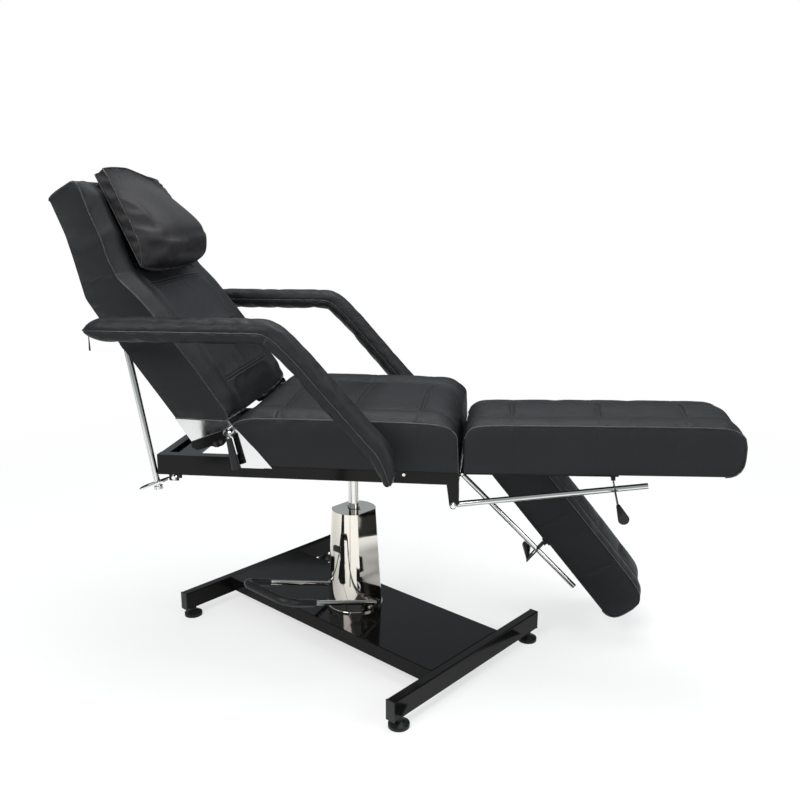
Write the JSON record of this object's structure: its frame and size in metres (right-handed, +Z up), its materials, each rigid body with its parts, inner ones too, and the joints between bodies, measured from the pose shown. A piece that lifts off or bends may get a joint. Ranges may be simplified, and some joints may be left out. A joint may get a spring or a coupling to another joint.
{
  "type": "tattoo chair",
  "caption": "Hydraulic tattoo chair with a swivelling padded seat, reclining back with head pillow, separately hinged leg rests and fixed padded armrests.",
  "frame": {"origin": "middle of the bounding box at floor level", "axes": "+X to the foot end of the chair, +Z up, -Y to the sitter's right"},
  "size_m": [1.5847, 0.9546, 1.2452],
  "materials": {
    "black_leatherette": "satin faux leather with a fine grain",
    "black_paint": "gloss powder coat",
    "chrome": "mirror polished plating",
    "bright_steel": "bright, finely ground",
    "cast_metal": "plain casting, hidden by the shroud",
    "black_plastic": "moulded satin",
    "black_rubber": "dull",
    "plywood": "plain birch plywood"
  },
  "bodies": {
    "base": {"front_bar": "black_paint", "rear_bar": "black_paint", "bar_plugs": "black_plastic", "deck": "black_paint", "pump_flange": "bright_steel", "pump_cylinder": "cast_metal", "pump_shroud": "chrome", "service_panel": "chrome", "panel_latch": "black_plastic"},
    "foot_front_right": {"foot_front_right": "black_rubber"},
    "foot_front_left": {"foot_front_left": "black_rubber"},
    "foot_rear_right": {"foot_rear_right": "black_rubber"},
    "foot_rear_left": {"foot_rear_left": "black_rubber"},
    "pedal": {"pedal_shaft": "chrome", "pedal_bar": "chrome", "pedal_sleeve": "black_rubber"},
    "plunger": {"pump_plunger": "bright_steel"},
    "ram": {"lift_ram": "chrome"},
    "seat": {"swivel_hub": "black_paint", "rail_right": "black_paint", "rail_left": "black_paint", "front_cross_tube": "black_paint", "leg_hinge_base": "black_paint", "head_cross_tube": "black_paint", "mid_cross_tubes": "black_paint", "head_cross_plate": "black_paint", "leg_hinge_pin": "bright_steel", "seat_cushion": "black_leatherette", "seat_board": "plywood", "seat_hinge_plates": "bright_steel", "rod_bracket_right": "black_paint", "rod_bracket_left": "black_paint", "armrest_tube_right": "black_paint", "armrest_tube_left": "black_paint", "armrest_pad_right": "black_leatherette", "armrest_pad_left": "black_leatherette", "seat_bolts": "chrome"},
    "back": {"back_hinge_plates": "bright_steel", "hinge_arms": "black_paint", "back_cushion": "black_leatherette", "back_board": "plywood", "prop_bracket": "black_paint", "back_bolts": "chrome"},
    "pillow": {"head_pillow": "black_leatherette"},
    "prop": {"back_rod": "chrome"},
    "lock": {"back_lock_plate": "bright_steel"},
    "lever": {"lever_hub": "bright_steel", "release_lever": "black_plastic"},
    "leg_right": {"leg_cushion_right": "black_leatherette", "leg_board_right": "plywood", "leg_hinge_leaf_right": "black_paint"},
    "leg_left": {"leg_cushion_left": "black_leatherette", "leg_board_left": "plywood", "leg_hinge_leaf_left": "black_paint"},
    "leg_prop_right": {"leg_rod_right": "chrome"},
    "leg_prop_left": {"leg_rod_left": "chrome"},
    "catch_right": {"leg_catch_right": "bright_steel", "leg_knob_right": "black_plastic"},
    "catch_left": {"leg_catch_left": "bright_steel", "leg_knob_left": "black_plastic"}
  },
  "joints": [
    {"name": "foot_front_right_screw", "type": "slide", "parent": "base", "child": "foot_front_right", "axis": [0, 0, -1], "range_m": [0, 0.01]},
    {"name": "foot_front_left_screw", "type": "slide", "parent": "base", "child": "foot_front_left", "axis": [0, 0, -1], "range_m": [0, 0.01]},
    {"name": "foot_rear_right_screw", "type": "slide", "parent": "base", "child": "foot_rear_right", "axis": [0, 0, -1], "range_m": [0, 0.01]},
    {"name": "foot_rear_left_screw", "type": "slide", "parent": "base", "child": "foot_rear_left", "axis": [0, 0, -1], "range_m": [0, 0.01]},
    {"name": "pedal_press", "type": "hinge", "parent": "base", "child": "pedal", "pos_m": [-0.14358, -0.00408, 0.105], "axis": [0.8168, -0.5769, 0], "range_deg": [0, 18], "stiffness_Nm_per_rad": 30, "springref_deg": -10.03},
    {"name": "plunger_stroke", "type": "slide", "parent": "base", "child": "plunger", "axis": [0, 0, -1], "range_m": [0, 0.0155]},
    {"name": "lift", "type": "slide", "parent": "base", "child": "ram", "axis": [0, 0, 1], "range_m": [-0.055, 0.12]},
    {"name": "seat_swivel", "type": "hinge", "parent": "ram", "child": "seat", "pos_m": [-0.1407, 0, 0.47], "axis": [0, 0, 1], "continuous": true},
    {"name": "back_recline", "type": "hinge", "parent": "seat", "child": "back", "pos_m": [-0.3907, 0, 0.632], "axis": [0, 1, 0], "range_deg": [-46, 0]},
    {"name": "pillow_slide", "type": "slide", "parent": "back", "child": "pillow", "axis": [-0.4147, 0, 0.91], "range_m": [0, 0.05]},
    {"name": "back_prop_swing", "type": "hinge", "parent": "back", "child": "prop", "pos_m": [-0.64379, -0.2405, 0.82995], "axis": [0, 1, 0], "range_deg": [-0.5, 13.6]},
    {"name": "release_pull", "type": "hinge", "parent": "seat", "child": "lever", "pos_m": [-0.3907, -0.2794, 0.632], "axis": [0, 1, 0], "range_deg": [0, 20], "stiffness_Nm_per_rad": 2, "springref_deg": -11.46},
    {"name": "back_lock_tilt", "type": "hinge", "parent": "seat", "child": "lock", "pos_m": [-0.5407, -0.2405, 0.507], "axis": [0, 1, 0], "range_deg": [0, 4.2]},
    {"name": "leg_right_swing", "type": "hinge", "parent": "seat", "child": "leg_right", "pos_m": [0.1623, -0.133, 0.541], "axis": [0, 1, 0], "range_deg": [0, 50]},
    {"name": "leg_right_prop_swing", "type": "hinge", "parent": "seat", "child": "leg_prop_right", "pos_m": [0.1423, -0.2405, 0.462], "axis": [0, 1, 0], "range_deg": [-0.5, 51.5]},
    {"name": "leg_right_release", "type": "hinge", "parent": "leg_right", "child": "catch_right", "pos_m": [0.50775, -0.2405, 0.54373], "axis": [0, 1, 0], "range_deg": [0, 5], "stiffness_Nm_per_rad": 1, "springref_deg": -17.19},
    {"name": "leg_left_swing", "type": "hinge", "parent": "seat", "child": "leg_left", "pos_m": [0.1623, 0.133, 0.541], "axis": [0, 1, 0], "range_deg": [-52.2, 0]},
    {"name": "leg_left_prop_swing", "type": "hinge", "parent": "seat", "child": "leg_prop_left", "pos_m": [0.1423, 0.0265, 0.462], "axis": [0, 1, 0], "range_deg": [-53.7, 0.5]},
    {"name": "leg_left_release", "type": "hinge", "parent": "leg_left", "child": "catch_left", "pos_m": [0.37619, 0.0265, 0.26972], "axis": [0, 1, 0], "range_deg": [0, 5], "stiffness_Nm_per_rad": 1, "springref_deg": -17.19}
  ],
  "couplings": [
    {"joint": "plunger_stroke", "follows": "pedal_press", "m_per_rad": 0.0463},
    {"joint": "back_prop_swing", "follows": "back_recline", "ratio": -0.283},
    {"joint": "back_lock_tilt", "follows": "release_pull", "ratio": 0.2},
    {"joint": "leg_right_prop_swing", "follows": "leg_right_swing", "ratio": 1.0165},
    {"joint": "leg_left_prop_swing", "follows": "leg_left_swing", "ratio": 1.0165}
  ]
}
